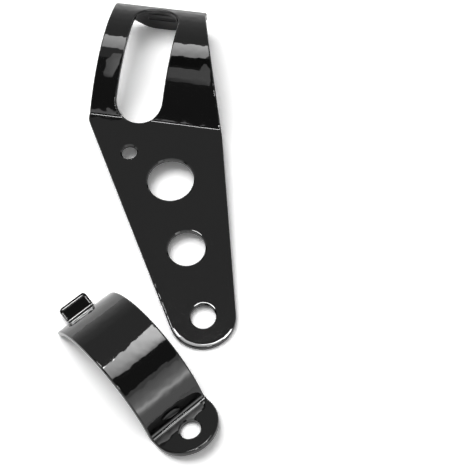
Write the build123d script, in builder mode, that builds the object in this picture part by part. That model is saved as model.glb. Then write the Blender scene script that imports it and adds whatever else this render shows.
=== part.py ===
"""Headlight mounting bracket for a motorcycle fork tube, pressed from black painted sheet steel.

A fork ear carries the lamp bolt at its round end and a shallow saddle at the other. A clamp strap
with a round bolt ear closes the saddle round the tube: its tab hooks into one of two slots in the
saddle's end flange. Both lie apart on a flat surface, as they are supplied.

Millimetres. The origin is the centre of the lamp bolt hole on the ear's inner face, +X runs along
the ear's fold and +Z is up from the surface on which the pieces lie.
"""

import os
from math import acos, asin, atan2, cos, degrees, hypot, radians, sin, tan

from build123d import *

# Sheet shared by both pieces
sheet = 2.0
fold_radius = 2.0
rim_radius = 0.7
bore_chamfer = 0.5
same_place = 1e-4
through = 3 * sheet
past = 1.5

# Ear plate: distances run from the lamp bolt hole, along the fold and square to it
lamp_bore = 10.5
end_radius = 13.9
lamp_offset = 0.35
plate_length = 88.4
saddle_axis = -45.5
saddle_half = 21.65
fold_right = 39.2
fold_setback = 2.2
left_corner_radius = 6.0
right_corner_radius = 20.0
flare_sagitta = 0.5
flare_blend_radius = 15.0
wiring_bore = 16.0
wiring_place = (-12.2, 29.5)
cable_bore = 20.2
cable_place = (-24.9, 60.9)
clamp_bolt_bore = 6.8
clamp_bolt_to_fold = 16.4

# Saddle: a shallow arc rising from the fold, with a round-ended window through it
saddle_radius = 55.6
saddle_rise = 10.0
saddle_length = 62.0
shoulder_radius = 4.0
window_width = 20.8
window_near = 8.1
window_to_flange = 13.2

# End flange: a tapered tongue at right angles to the plate, with two hook slots
flange_length = 12.9
flange_straight = 2.7
flange_lead = 0.1
flange_bottom_half = 6.5
flange_corner_radius = 12.0
slot_sill = 2.0
slot_pitch = 4.2
slot_clearance = 0.3
slot_side_clearance = 0.5

# Clamp strap: a deep arc with a round bolt ear at one end and a hook tab at the other
strap_width = 27.4
strap_radius = 32.7
strap_centre_drop = 2.3
strap_end_angle = 53.4
strap_corner_radius = 1.8
strap_bolt_bore = 8.5
strap_bolt_to_fold = 5.9
strap_ear_straight = 2.1
tab_width = 13.0
tab_offset = 1.2
tab_length = 5.9
tab_setback = 3.0
tab_notch = 1.6
tab_bend_radius = 1.0
tab_corner_radius = 1.5

# Where the strap lies beside the ear: its fold on the floor, and the way it points
strap_place = (-1.4, -45.1)
strap_turn = 140.4

# Saddle arc, tangent to the fold and to the shoulder
fold_angle = degrees(acos((saddle_radius - saddle_rise + fold_radius) / (saddle_radius + fold_radius)))
crest = (saddle_radius + fold_radius) * sin(radians(fold_angle))
saddle_depth = saddle_radius - saddle_rise
shoulder_angle = degrees(asin((saddle_length - shoulder_radius - crest) / (saddle_radius - shoulder_radius)))
flange_top = (saddle_radius - shoulder_radius) * cos(radians(shoulder_angle)) - saddle_depth
flange_drop = flange_length - flange_top
window_far = saddle_length - window_to_flange
taper_turn = atan2(saddle_half - flange_bottom_half, flange_length - flange_straight)
taper_radius = (flange_straight - flange_lead) / tan(taper_turn / 2)

# The ear rests on its round end and on the foot of its flange, which tips the plate
ear_reach = end_radius + plate_length + saddle_length - sheet
ear_tilt = atan2(flange_drop - sheet, ear_reach)
floor = -end_radius * sin(ear_tilt)

ear_plane = Plane(origin=(0, 0, 0), x_dir=(1, 0, 0), z_dir=(0, -sin(ear_tilt), cos(ear_tilt))).offset(sheet)
saddle_plane = Plane(
    origin=ear_plane.from_local_coords((saddle_axis, plate_length, 0)),
    x_dir=ear_plane.x_dir,
    z_dir=ear_plane.z_dir,
)
saddle_side = Plane(origin=saddle_plane.origin, x_dir=saddle_plane.y_dir, z_dir=saddle_plane.x_dir)
flange_plane = Plane(
    origin=saddle_plane.from_local_coords((0, saddle_length, flange_top)),
    x_dir=-saddle_plane.x_dir,
    z_dir=saddle_plane.y_dir,
)
left_corner = (-saddle_half, -fold_setback)
right_corner = (fold_right, -fold_setback)
flare_end = (saddle_half, saddle_length - shoulder_radius)
ear_span = 2 * ear_reach

# Strap arc, tangent to its fold, and the tilt at which its heel and its toe both touch the floor
strap_fold_angle = degrees(acos((strap_centre_drop + fold_radius) / (strap_radius + fold_radius)))
strap_centre = Vector((strap_radius + fold_radius) * sin(radians(strap_fold_angle)), sheet - strap_centre_drop)
strap_heel = sheet + fold_radius
strap_toe = strap_centre + Vector(0, strap_radius - sheet).rotate(Axis.Z, -strap_end_angle)
toe_rise = strap_toe.Y - strap_heel
strap_tilt = atan2(toe_rise, strap_toe.X) + asin(strap_heel / hypot(strap_toe.X, toe_rise))
tab_angle = strap_end_angle - degrees(tab_setback / strap_radius)

strap_floor = Plane(origin=(*strap_place, floor + strap_heel)).rotated((0, 0, strap_turn))
strap_plane = Plane(
    origin=strap_floor.from_local_coords((-strap_heel * sin(strap_tilt), 0, -strap_heel * cos(strap_tilt))),
    x_dir=strap_floor.x_dir * cos(strap_tilt) - strap_floor.z_dir * sin(strap_tilt),
    z_dir=strap_floor.x_dir * sin(strap_tilt) + strap_floor.z_dir * cos(strap_tilt),
)
strap_side = Plane(origin=strap_plane.origin, x_dir=strap_plane.x_dir, z_dir=-strap_plane.y_dir)
tab_side = strap_side.offset(-tab_offset)
strap_span = 2 * strap_radius + strap_width


def on_saddle(along):
    """Plane touching the saddle's outer face at a distance from the fold."""
    lean = asin((along - crest) / saddle_radius)
    return Plane(
        origin=saddle_plane.from_local_coords((0, along, saddle_radius * cos(lean) - saddle_depth)),
        x_dir=saddle_plane.x_dir,
        z_dir=saddle_plane.y_dir * sin(lean) + saddle_plane.z_dir * cos(lean),
    )


def in_window(edge):
    """Whether an edge bounds the saddle's window."""
    middle = saddle_plane.to_local_coords(edge @ 0.5)
    reach = window_width / 2 + same_place
    return abs(middle.X) < reach and abs(middle.Y - (window_near + window_far) / 2) < saddle_length / 2


def rims(edges, side_plane, skin):
    """Those edges that run along the outer face of the sheet, a line in the plane of its section."""
    found = ShapeList()
    for edge in edges:
        points = [side_plane.to_local_coords(edge @ share) for share in (0, 0.35, 0.65, 1)]
        across = max(point.Z for point in points) - min(point.Z for point in points)
        on_skin = all(skin.distance_to(Vector(point.X, point.Y)) < same_place for point in points)
        if on_skin and across < edge.length - same_place:
            found.append(edge)
    return found


# Fork ear: the folded section, trimmed to its flat outline and pierced
with BuildPart() as fork_ear:
    with BuildSketch(saddle_side):
        with BuildLine() as ear_section:
            plate_line = Line((-plate_length - 2 * end_radius, 0), (0, 0))
            fold = JernArc(plate_line @ 1, plate_line % 1, fold_radius, fold_angle)
            saddle_arc = JernArc(fold @ 1, fold % 1, saddle_radius, -fold_angle - shoulder_angle)
            shoulder = JernArc(saddle_arc @ 1, saddle_arc % 1, shoulder_radius, shoulder_angle - 90)
            Line(shoulder @ 1, (saddle_length, -flange_drop))
            ear_skin = ear_section.wires()[0]
            offset(amount=sheet, side=Side.RIGHT)
        make_face()
    extrude(amount=ear_span, both=True)

    # Outline: straight sides run from the round lamp end to the fold, and a flare narrows to the saddle
    with BuildSketch(saddle_plane) as outline:
        with BuildLine():
            CenterArc((-saddle_axis - lamp_offset, -plate_length), end_radius, 90, 360)
            Line(left_corner, right_corner)
        make_hull()
        with BuildLine():
            Line(right_corner, left_corner)
            Line(left_corner, (-saddle_half, saddle_length))
            Line((-saddle_half, saddle_length), (saddle_half, saddle_length))
            Line((saddle_half, saddle_length), flare_end)
            SagittaArc(flare_end, right_corner, -flare_sagitta)
        make_face()
        fillet(outline.vertices().sort_by_distance(left_corner)[0], left_corner_radius)
        fillet(outline.vertices().sort_by_distance(right_corner)[0], right_corner_radius)
        fillet(outline.vertices().sort_by_distance(flare_end)[0], flare_blend_radius)
    extrude(amount=ear_span, both=True, mode=Mode.INTERSECT)
    fillet(rims(fork_ear.edges(), saddle_side, ear_skin), rim_radius)

    # Flange: tapered sides and large rounded corners
    with BuildSketch(flange_plane):
        Rectangle(ear_span, 2 * flange_length, align=(Align.CENTER, Align.MAX))
        with BuildLine():
            tongue = FilletPolyline(
                (saddle_half, 0),
                (saddle_half, -flange_straight),
                (flange_bottom_half, -flange_length),
                (-flange_bottom_half, -flange_length),
                (-saddle_half, -flange_straight),
                (-saddle_half, 0),
                radius=[taper_radius, flange_corner_radius, flange_corner_radius, taper_radius],
            )
            Line(tongue @ 1, tongue @ 0)
        make_face(mode=Mode.SUBTRACT)
    extrude(amount=through, both=True, mode=Mode.SUBTRACT)

    # Window: a wedge between two round ends that stand square to the saddle
    window_ends = [on_saddle(window_near), on_saddle(window_far)]
    saddle_hub = Vector(crest, -saddle_depth)
    window_rays = [saddle_side.to_local_coords(end.origin) - saddle_hub for end in window_ends]
    with BuildSketch(saddle_side):
        with BuildLine():
            Polyline(saddle_hub, *[saddle_hub + ray * past for ray in window_rays], close=True)
        make_face()
    extrude(amount=window_width / 2, both=True, mode=Mode.SUBTRACT)
    with BuildSketch(*window_ends):
        Circle(window_width / 2)
    extrude(amount=through, both=True, mode=Mode.SUBTRACT)
    window_edges = fork_ear.edges().filter_by(in_window)
    fillet(rims(window_edges, saddle_side, ear_skin), rim_radius)

    # Holes in the plate
    with BuildSketch(ear_plane):
        Circle(lamp_bore / 2)
        with Locations(wiring_place):
            Circle(wiring_bore / 2)
        with Locations(cable_place):
            Circle(cable_bore / 2)
        with Locations((saddle_axis, plate_length - clamp_bolt_to_fold)):
            Circle(clamp_bolt_bore / 2)
    extrude(amount=-through, mode=Mode.SUBTRACT)
    chamfer(rims(fork_ear.edges(Select.LAST), saddle_side, ear_skin), bore_chamfer)

    # Hook slots, one above the other
    slot_height = sheet + slot_clearance
    with BuildSketch(flange_plane):
        for sill in (slot_sill, slot_sill + slot_pitch):
            with Locations((0, slot_height / 2 - sill)):
                SlotOverall(tab_width + 2 * slot_side_clearance, slot_height)
    extrude(amount=-through, mode=Mode.SUBTRACT)

# Clamp strap: the folded section, trimmed to a round ear and cut at its end for the tab
with BuildPart() as clamp_strap:
    with BuildSketch(strap_side):
        with BuildLine() as strap_section:
            ear_line = Line((-strap_width - strap_ear_straight, sheet), (0, sheet))
            heel = JernArc(ear_line @ 1, ear_line % 1, fold_radius, strap_fold_angle)
            JernArc(heel @ 1, heel % 1, strap_radius, -strap_fold_angle - strap_end_angle)
            strap_skin = strap_section.wires()[0]
            offset(amount=sheet, side=Side.RIGHT)
        make_face()
    extrude(amount=strap_width / 2, both=True)

    with BuildSketch(strap_plane):
        with Locations((-strap_ear_straight, 0)):
            Circle(strap_width / 2)
            Rectangle(strap_span, strap_width, align=(Align.MIN, Align.CENTER))
    extrude(amount=2 * strap_radius, both=True, mode=Mode.INTERSECT)

    strap_end = clamp_strap.faces().sort_by(Axis(strap_plane.origin, strap_plane.x_dir))[-1]
    fillet(strap_end.edges().filter_by(lambda edge: edge.length < 2 * sheet), strap_corner_radius)
    fillet(rims(clamp_strap.edges(), strap_side, strap_skin), rim_radius)

    # Bolt hole in the ear
    with BuildSketch(strap_plane):
        with Locations((-strap_bolt_to_fold, 0)):
            Circle(strap_bolt_bore / 2)
    extrude(amount=through, mode=Mode.SUBTRACT)
    chamfer(rims(clamp_strap.edges(Select.LAST), strap_side, strap_skin), bore_chamfer)

    # The end between the notches, cut away for the tab
    with BuildSketch(tab_side):
        with BuildLine():
            tab_ray = Vector(0, past * strap_radius).rotate(Axis.Z, -tab_angle)
            end_ray = Vector(0, past * strap_radius).rotate(Axis.Z, -strap_end_angle - tab_angle / 2)
            Polyline(strap_centre, strap_centre + tab_ray, strap_centre + end_ray, close=True)
        make_face()
    extrude(amount=tab_width / 2 + tab_notch, both=True, mode=Mode.SUBTRACT)

    # Tab, bent square out of the arc to hook into a slot
    with BuildSketch(tab_side):
        with BuildLine():
            tab_root = strap_centre + Vector(0, strap_radius).rotate(Axis.Z, -tab_angle)
            tab_start = Vector(1, 0).rotate(Axis.Z, -tab_angle)
            tab_bend = JernArc(tab_root, tab_start, tab_bend_radius, 90)
            tab_line = Line(tab_bend @ 1, tab_bend @ 1 + (tab_bend % 1) * tab_length)
            offset(amount=sheet, side=Side.RIGHT)
        make_face()
    extrude(amount=tab_width / 2, both=True)
    tab_tip = tab_side.from_local_coords(tab_line @ 1)
    tab_corners = clamp_strap.edges().filter_by(lambda edge: abs(edge.length - sheet) < same_place)
    fillet(tab_corners.sort_by_distance(tab_tip)[:2], tab_corner_radius)

fork_ear.part.label = "fork_ear"
clamp_strap.part.label = "clamp_strap"

os.makedirs("parts", exist_ok=True)
export_step(fork_ear.part, "parts/fork_ear.step")
export_step(clamp_strap.part, "parts/clamp_strap.step")
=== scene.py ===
"""A headlight mounting bracket on a white studio floor: fork ear and clamp strap in gloss black enamel."""

import math

import bmesh
import bpy
import numpy as np
from mathutils import Matrix, Vector


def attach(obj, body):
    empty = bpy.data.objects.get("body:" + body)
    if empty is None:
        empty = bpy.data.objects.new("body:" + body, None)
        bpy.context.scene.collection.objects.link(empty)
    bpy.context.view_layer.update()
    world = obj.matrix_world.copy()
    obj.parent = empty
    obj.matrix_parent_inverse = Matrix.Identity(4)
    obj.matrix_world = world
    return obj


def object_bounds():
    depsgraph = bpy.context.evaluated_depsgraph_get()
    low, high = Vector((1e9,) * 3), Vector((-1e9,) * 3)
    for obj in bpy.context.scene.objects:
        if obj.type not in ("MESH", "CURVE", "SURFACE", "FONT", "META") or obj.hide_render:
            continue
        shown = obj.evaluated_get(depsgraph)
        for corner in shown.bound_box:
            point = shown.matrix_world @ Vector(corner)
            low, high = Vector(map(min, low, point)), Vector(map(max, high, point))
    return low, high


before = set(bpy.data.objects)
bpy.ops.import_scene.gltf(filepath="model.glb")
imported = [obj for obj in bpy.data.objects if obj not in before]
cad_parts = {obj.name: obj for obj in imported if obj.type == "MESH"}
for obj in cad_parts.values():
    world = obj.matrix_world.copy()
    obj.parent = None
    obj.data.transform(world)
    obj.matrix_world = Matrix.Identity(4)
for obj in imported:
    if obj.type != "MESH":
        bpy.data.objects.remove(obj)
cad_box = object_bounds()
scene = bpy.context.scene

# Fork ear and clamp strap
# Two pressings from one sheet of mild steel, folded and pierced, then dipped and stoved in black
# enamel. The enamel flows round every rim and hides the metal.


def linear(hex_code):
    """Linear RGBA of an sRGB hex code."""
    shares = [int(hex_code[i:i + 2], 16) / 255 for i in (1, 3, 5)]
    return tuple(c / 12.92 if c <= 0.04045 else ((c + 0.055) / 1.055) ** 2.4 for c in shares) + (1.0,)


def add_node(tree, kind, values=None, links=None, **settings):
    """A node with its settings, its fixed input values and its links from other sockets."""
    node = tree.nodes.new(kind)
    for name, value in settings.items():
        setattr(node, name, value)
    for name, value in (values or {}).items():
        node.inputs[name].default_value = value
    for name, socket in (links or {}).items():
        tree.links.new(socket, node.inputs[name])
    return node


# Stoved black enamel: a smooth clear gloss over black, with a faint orange peel about 3 mm from
# crest to crest that makes the edges of what it mirrors waver, and a finer ripple within it.
peel_size = 0.003
peel_depth = 0.00006
ripple_size = 0.0012
ripple_depth = 0.000004
clear_roughness = 0.03
hazy_roughness = 0.06
enamel = bpy.data.materials.new("stoved_black_enamel")
enamel.use_nodes = True
tree = enamel.node_tree
gloss = tree.nodes["Principled BSDF"]
gloss.inputs["Base Color"].default_value = linear("#060606")
gloss.inputs["IOR"].default_value = 1.5
place = add_node(tree, "ShaderNodeTexCoord").outputs["Object"]
peel = add_node(
    tree, "ShaderNodeTexNoise", {"Scale": 1 / peel_size, "Detail": 0.0}, {"Vector": place}
)
ripple = add_node(
    tree, "ShaderNodeTexNoise", {"Scale": 1 / ripple_size, "Detail": 0.0}, {"Vector": place}
)
peel_bump = add_node(
    tree, "ShaderNodeBump", {"Strength": 1.0, "Distance": peel_depth},
    {"Height": peel.outputs["Fac"]},
)
ripple_bump = add_node(
    tree, "ShaderNodeBump", {"Strength": 1.0, "Distance": ripple_depth},
    {"Height": ripple.outputs["Fac"], "Normal": peel_bump.outputs["Normal"]},
)
tree.links.new(ripple_bump.outputs["Normal"], gloss.inputs["Normal"])
haze = add_node(
    tree, "ShaderNodeMapRange", {"To Min": clear_roughness, "To Max": hazy_roughness},
    {"Value": peel.outputs["Fac"]},
)
tree.links.new(haze.outputs["Result"], gloss.inputs["Roughness"])
for name in ("fork_ear", "clamp_strap"):
    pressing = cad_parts[name]
    pressing.data.materials.clear()
    pressing.data.materials.append(enamel)

# Fat edges
# Enamel that ran to the rims as the dipped pieces drained, and set there as low ridges a little in
# from the edge: along the hook tab, round the lamp end and behind two of the ear's holes.


def fat_edge(name, line, swell, width, height, middle, across, forward):
    """A closed shell along a flat line, which is given in metres across and forward from a middle.
    Its profile is a parabola that stands square to the line, its height times the swell at each
    point, over a foot that is sunk a little into the sheet."""
    foot = 0.00005
    profile_points = 9
    crease = math.radians(30)
    share = np.linspace(-1, 1, profile_points)
    side = np.append(share, (1, -1)) * width / 2
    rise = np.append(height * (1 - share ** 2), (0, 0)) * swell[:, None]
    rise[:, -2:] = -foot
    along = np.gradient(line, axis=0)
    along /= np.linalg.norm(along, axis=1, keepdims=True)
    square = np.stack([along[:, 1], -along[:, 0]], axis=1)
    flat = line[:, None, :] + side[None, :, None] * square[:, None, :]
    up = np.cross(across, forward)
    points = middle + flat[..., :1] * across + flat[..., 1:] * forward + rise[..., None] * up

    rings, corners = rise.shape
    ring = np.arange(rings - 1)[:, None] * corners
    next_ring = ring + corners
    corner = np.arange(corners)[None, :]
    after = (corner + 1) % corners
    quads = np.stack([ring + corner, ring + after, next_ring + after, next_ring + corner], axis=-1)
    ends = [list(range(corners)), list(range((rings - 1) * corners, rings * corners))]
    mesh = bpy.data.meshes.new(name)
    mesh.from_pydata(points.reshape(-1, 3).tolist(), [], quads.reshape(-1, 4).tolist() + ends)
    shell = bmesh.new()
    shell.from_mesh(mesh)
    bmesh.ops.recalc_face_normals(shell, faces=shell.faces)
    shell.to_mesh(mesh)
    shell.free()
    mesh.shade_smooth()
    mesh.set_sharp_from_angle(angle=crease)
    mesh.materials.append(enamel)
    ridge = bpy.data.objects.new(name, mesh)
    scene.collection.objects.link(ridge)
    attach(ridge, "root")


# On the tab: up one side, round the tip and down the other side
tab_middle = np.array((-0.05387, -0.00325, 0.0040))
tab_up = np.array((0.323, -0.267, 0.908))
tab_across = np.array((0.6374, 0.7705, 0.0))
tab_ridge_half = 0.0058
tab_ridge_length = 0.0042
tab_ridge_turn = 0.001
tab_ridge_width = 0.001
tab_ridge_height = 0.00013
sweep = np.linspace(0, math.pi / 2, 7)
tab_turn = np.stack([
    -tab_ridge_half + tab_ridge_turn * (1 - np.cos(sweep)),
    tab_ridge_turn * (np.sin(sweep) - 1),
], axis=1)
tab_side = np.concatenate([[(-tab_ridge_half, -tab_ridge_length)], tab_turn])
tab_line = np.concatenate([tab_side, tab_side[::-1] * (-1, 1)])
fat_edge(
    "tab_fat_edge", tab_line, np.ones(len(tab_line)), tab_ridge_width, tab_ridge_height,
    tab_middle, tab_across, np.cross(tab_up, tab_across),
)

# On the ear's outer face: arcs about the holes' centres that die away at both ends, each with its
# radius, the degrees where it starts and stops, its width and its height
sheet = 0.002
ear_up = np.array((0.0, -0.071771, 0.997421))
ear_across = np.array((1.0, 0.0, 0.0))
ear_forward = np.cross(ear_up, ear_across)
ear_face = sheet * ear_up
lamp_hole = (0.0, 0.0)
middle_hole = (-0.0122, 0.0295)
fade = np.sqrt(np.sin(np.linspace(0, math.pi, 49)))
for name, centre, radius, start, stop, width, height in (
    ("lamp_end_fat_edge", lamp_hole, 0.0122, 205, 372, 0.0020, 0.00008),
    ("lamp_hole_fat_edge", lamp_hole, 0.0064, 35, 148, 0.0013, 0.00005),
    ("middle_hole_fat_edge", middle_hole, 0.0092, 30, 95, 0.0013, 0.00005),
):
    angle = np.radians(np.linspace(start, stop, len(fade)))
    arc = centre + radius * np.stack([np.cos(angle), np.sin(angle)], axis=1)
    fat_edge(name, arc, fade, width, height, ear_face, ear_across, ear_forward)

# Floor
# A sheet of matt white studio paper, on which both pieces lie loose. It is whiter to the eye and in
# the gloss than in the light that it passes on.
paper_half = 3.0
paper_corners = ((-1, -1), (1, -1), (1, 1), (-1, 1))
paper_mesh = bpy.data.meshes.new("studio_paper")
paper_mesh.from_pydata(
    [(x * paper_half, y * paper_half, cad_box[0][2]) for x, y in paper_corners], [], [(0, 1, 2, 3)]
)

# Matt white paper: no gloss at all, so that nothing but the shadows shows on it.
passed_on_white = 0.95
seen_white = 1.3
paper = bpy.data.materials.new("matt_white_paper")
paper.use_nodes = True
tree = paper.node_tree
matt = tree.nodes["Principled BSDF"]
matt.inputs["Roughness"].default_value = 0.9
matt.inputs["Specular IOR Level"].default_value = 0.0
ray = add_node(tree, "ShaderNodeLightPath")
seen = add_node(
    tree, "ShaderNodeMath", operation="MAXIMUM",
    links={0: ray.outputs["Is Camera Ray"], 1: ray.outputs["Is Glossy Ray"]},
)
tone = add_node(
    tree, "ShaderNodeMapRange", {"To Min": passed_on_white, "To Max": seen_white},
    {"Value": seen.outputs[0]},
)
tree.links.new(tone.outputs["Result"], matt.inputs["Base Color"])
paper_mesh.materials.append(paper)
floor = bpy.data.objects.new("studio_paper", paper_mesh)
scene.collection.objects.link(floor)

# Cards
# Softboxes, reflectors and black flags on stands round the bracket. Only the gloss sees them: they
# give no light of their own to the paper. A glow of 1 is the white of the room.


def studio_card(name, rows):
    """A strip of quads through rows of (left point, right point, left glow, right glow), in metres."""
    mesh = bpy.data.meshes.new(name)
    count = len(rows)
    points = [row[0] for row in rows] + [row[1] for row in rows]
    mesh.from_pydata(points, [], [(i, i + 1, count + i + 1, count + i) for i in range(count - 1)])
    glows = mesh.attributes.new("glow", "FLOAT", "POINT")
    glows.data.foreach_set("value", [row[2] for row in rows] + [row[3] for row in rows])
    card = bpy.data.objects.new(name, mesh)
    card.visible_camera = card.visible_diffuse = card.visible_shadow = False
    scene.collection.objects.link(card)
    lit = bpy.data.materials.new(name)
    lit.use_nodes = True
    lit.node_tree.nodes.clear()
    level = add_node(lit.node_tree, "ShaderNodeAttribute", attribute_name="glow")
    glow = add_node(lit.node_tree, "ShaderNodeEmission", links={"Strength": level.outputs["Fac"]})
    add_node(lit.node_tree, "ShaderNodeOutputMaterial", links={"Surface": glow.outputs["Emission"]})
    mesh.materials.append(lit)


def level_rows(height, rows):
    """Rows of a level card from (depth, left, right, left glow, right glow)."""
    return [
        ((left, depth, height), (right, depth, height), left_glow, right_glow)
        for depth, left, right, left_glow, right_glow in rows
    ]


def standing_rows(left, right, rows):
    """Rows of a card that stands over two points of the floor, from (height, glow)."""
    return [((*left, height), (*right, height), glow, glow) for height, glow in rows]


# A grey ceiling over everything, which the flat of the ear mirrors
ceiling_half = 4
studio_card("grey_ceiling", level_rows(1.3, [
    (depth, -ceiling_half, ceiling_half, glow, glow)
    for depth, glow in ((-2.6, 0.12), (-0.02, 0.12), (0.30, 0.5), (1.6, 0.42), (3.6, 0.6), (7.0, 1.0))
]))

# Close over the saddle: a strip softbox, a black flag in front of it, and reflectors low under a
# shade that keeps the high lamps off the saddle
strip_height = 0.05
reflector_height = 0.035
shade_height = 0.036
studio_card("saddle_strip", level_rows(strip_height, [
    (0.1312, -0.085, -0.0225, 4.0, 4.0),
    (0.1485, -0.085, -0.0225, 6.0, 8.5),
]))
studio_card("saddle_flag", level_rows(strip_height, [
    (0.1175, -0.060, -0.010, 0.05, 0.05),
    (0.1312, -0.060, -0.010, 0.05, 0.05),
]))
studio_card("saddle_shade", [
    ((-0.0745, 0.1005, shade_height), (-0.010, 0.1040, shade_height), 0.12, 0.12),
    ((-0.0745, 0.1165, shade_height), (-0.010, 0.1165, shade_height), 0.12, 0.12),
])
studio_card("saddle_reflector", level_rows(reflector_height, [
    (0.1040, -0.042, -0.0168, 0.3, 0.9),
    (0.1055, -0.042, -0.0168, 0.45, 1.1),
    (0.1075, -0.042, -0.0170, 1.2, 1.3),
    (0.1145, -0.042, -0.0180, 1.2, 1.3),
]))
studio_card("saddle_edge_reflector", level_rows(reflector_height, [
    (0.1145, -0.0230, -0.0180, 1.2, 1.3),
    (0.1200, -0.0212, -0.0198, 1.1, 1.1),
]))
studio_card("saddle_left_reflector", level_rows(reflector_height, [
    (0.1015, -0.0665, -0.0628, 0.6, 0.8),
    (0.1045, -0.0670, -0.0622, 1.2, 2.2),
    (0.1140, -0.0665, -0.0605, 1.4, 2.4),
    (0.1200, -0.0640, -0.0600, 1.8, 2.0),
]))

# High over the fold: a small bright lamp that draws thin lines along it and on the ear's fat edges
lamp_height = 1.0
fold_glow = 40
studio_card("fold_lamp", level_rows(lamp_height, [
    (0.13, -0.40, 0.20, fold_glow, fold_glow),
    (0.23, -0.40, 0.20, fold_glow, fold_glow),
]))

# Over the strap: a sloping softbox, close and brightest at its back
studio_card("strap_softbox", [
    ((-0.0360, -0.0270, 0.09), (-0.0240, 0.0140, 0.09), 6, 14),
    ((0.0800, -0.0420, 0.50), (0.1355, 0.0090, 0.50), 3, 3),
])

# High on the right: two small bright lamps that draw the thin lines round the hook tab
tab_glow = 60
studio_card("tab_lamp", level_rows(lamp_height, [
    (0.0, 0.12, 0.24, tab_glow, tab_glow),
    (0.09, 0.12, 0.24, tab_glow, tab_glow),
]))
studio_card("tab_side_lamp", level_rows(lamp_height, [
    (-0.47, 0.12, 0.24, tab_glow, tab_glow),
    (-0.37, 0.14, 0.26, tab_glow, tab_glow),
]))

# Standing panels all round, each brightest where its lamp is, and a small one close to the strap
studio_card("back_panel", standing_rows((-0.75, 1.5), (0.9, 1.5), (
    (0.0, 2.8), (0.13, 1.5), (0.30, 0.85), (0.48, 0.6), (0.8, 0.45),
)))
studio_card("left_panel", standing_rows((-1.6, 0.2), (-0.75, 1.5), (
    (0.0, 1.2), (0.12, 1.0), (0.3, 0.75), (0.55, 0.55), (0.9, 0.45),
)))
studio_card("front_left_panel", standing_rows((-0.8, -0.8), (-0.325, -0.8), (
    (1.06, 1.8), (1.16, 1.6),
)))
studio_card("right_panel", standing_rows((1.13, 0.10), (0.63, -1.0), (
    (0.0, 0.8), (1.25, 1.0),
)))
studio_card("strap_panel", standing_rows((0.1790, -0.0965), (0.1290, -0.1715), (
    (0.0, 1.5), (0.055, 1.7), (0.070, 2.6), (0.076, 4.0),
    (0.088, 6.3), (0.108, 3.5), (0.150, 2.2), (0.22, 1.4),
)))
studio_card("front_panel", standing_rows((-0.8, -0.8), (0.5, -0.8), (
    (0.0, 1.0), (1.06, 2.5),
)))

# Light and room
# One softbox, high up behind on the left, lights the paper and draws the shadows. The room is white
# to the eye and in the gloss, and gives the paper half of that as a fill.
softbox_side = 0.8
softbox_power = 9.2
room_fill = 0.5
room_white = 1.0
softbox = bpy.data.lights.new("overhead_softbox", "AREA")
softbox.shape = "RECTANGLE"
softbox.size = softbox.size_y = softbox_side
softbox.energy = softbox_power
lamp = bpy.data.objects.new("overhead_softbox", softbox)
lamp.location = (-0.45, 0.3, 0.95)
lamp.visible_glossy = lamp.visible_camera = False
scene.collection.objects.link(lamp)

room = bpy.data.worlds.new("white_room")
scene.world = room
room.use_nodes = True
tree = room.node_tree
tree.nodes.clear()
ray = add_node(tree, "ShaderNodeLightPath")
seen = add_node(
    tree, "ShaderNodeMath", operation="MAXIMUM",
    links={0: ray.outputs["Is Camera Ray"], 1: ray.outputs["Is Glossy Ray"]},
)
white = add_node(
    tree, "ShaderNodeMath", operation="MAXIMUM",
    links={0: seen.outputs[0], 1: ray.outputs["Is Transmission Ray"]},
)
level = add_node(
    tree, "ShaderNodeMapRange", {"To Min": room_fill, "To Max": room_white},
    {"Value": white.outputs[0]},
)
sky = add_node(
    tree, "ShaderNodeBackground", {"Color": (1, 1, 1, 1)}, {"Strength": level.outputs["Result"]}
)
add_node(tree, "ShaderNodeOutputWorld", links={"Surface": sky.outputs["Background"]})

# Camera
# It stands in front of the lamp end and looks steeply down on the bracket, a little from the right
# and with a slight roll.
camera_data = bpy.data.cameras.new("camera")
camera_data.sensor_width = 36.0
camera_data.lens = 88.1
camera = bpy.data.objects.new("camera", camera_data)
scene.collection.objects.link(camera)
camera_place = Vector((0.0518, -0.20194, 0.4266))
turn = math.radians(10.547)
dip = math.radians(59.922)
roll = math.radians(1.591)
forward = Vector((
    -math.sin(turn) * math.cos(dip),
    math.cos(turn) * math.cos(dip),
    -math.sin(dip),
))
across = Vector((math.cos(turn), math.sin(turn), 0))
under = forward.cross(across)
right = across * math.cos(roll) + under * math.sin(roll)
down = under * math.cos(roll) - across * math.sin(roll)
camera.matrix_world = Matrix((
    (right.x, -down.x, -forward.x, camera_place.x),
    (right.y, -down.y, -forward.y, camera_place.y),
    (right.z, -down.z, -forward.z, camera_place.z),
    (0, 0, 0, 1),
))
scene.camera = camera
scene.view_settings.view_transform = "Standard"
